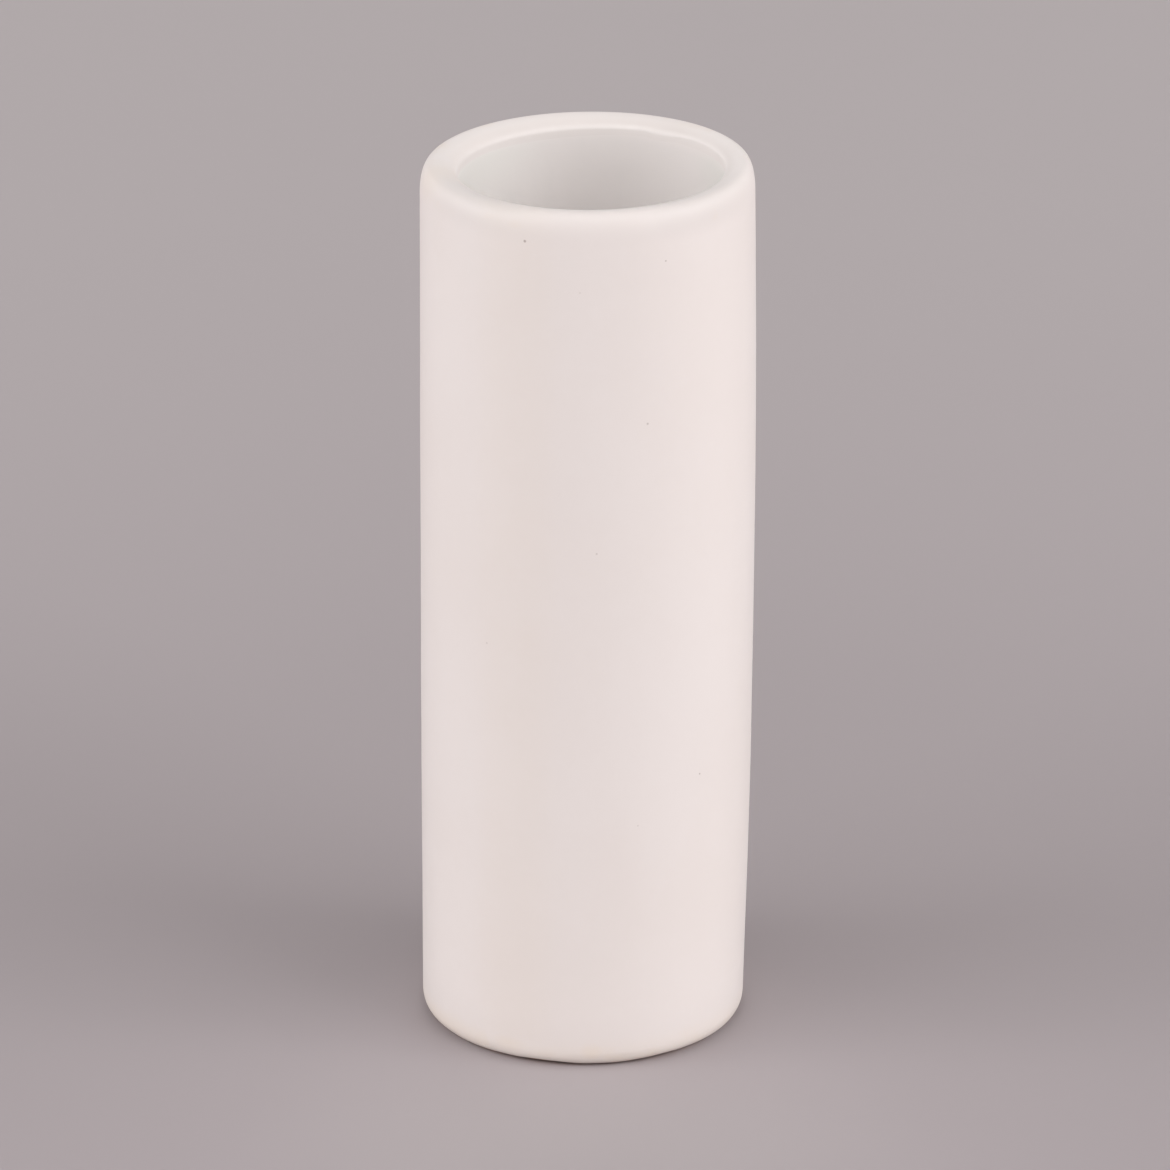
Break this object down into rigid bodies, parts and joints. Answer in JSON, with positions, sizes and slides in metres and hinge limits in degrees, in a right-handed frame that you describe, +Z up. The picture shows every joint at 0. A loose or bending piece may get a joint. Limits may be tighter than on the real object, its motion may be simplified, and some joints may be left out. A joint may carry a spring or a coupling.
{
  "type": "vase",
  "caption": "Tall glazed earthenware cylinder vase with a thick wall, a soft rounded lip, a bare foot and an open bore.",
  "frame": {"origin": "middle of the foot, on the surface that the vase stands on", "axes": "+Z up along the vase's axis; -Y faces the viewer of the picture; +X is the side that bows out and where the rim stands highest"},
  "size_m": [0.0663, 0.0662, 0.1804],
  "materials": {
    "terracotta": "matte",
    "slip": "matte",
    "satin_glaze": "satin",
    "liner_glaze": "gloss"
  },
  "bodies": {
    "root": {"wall": "terracotta", "base": "terracotta", "luting_slip": "slip", "inner_coil": "terracotta", "outer_glaze": "satin_glaze", "liner_glaze": "liner_glaze"}
  },
  "joints": []
}
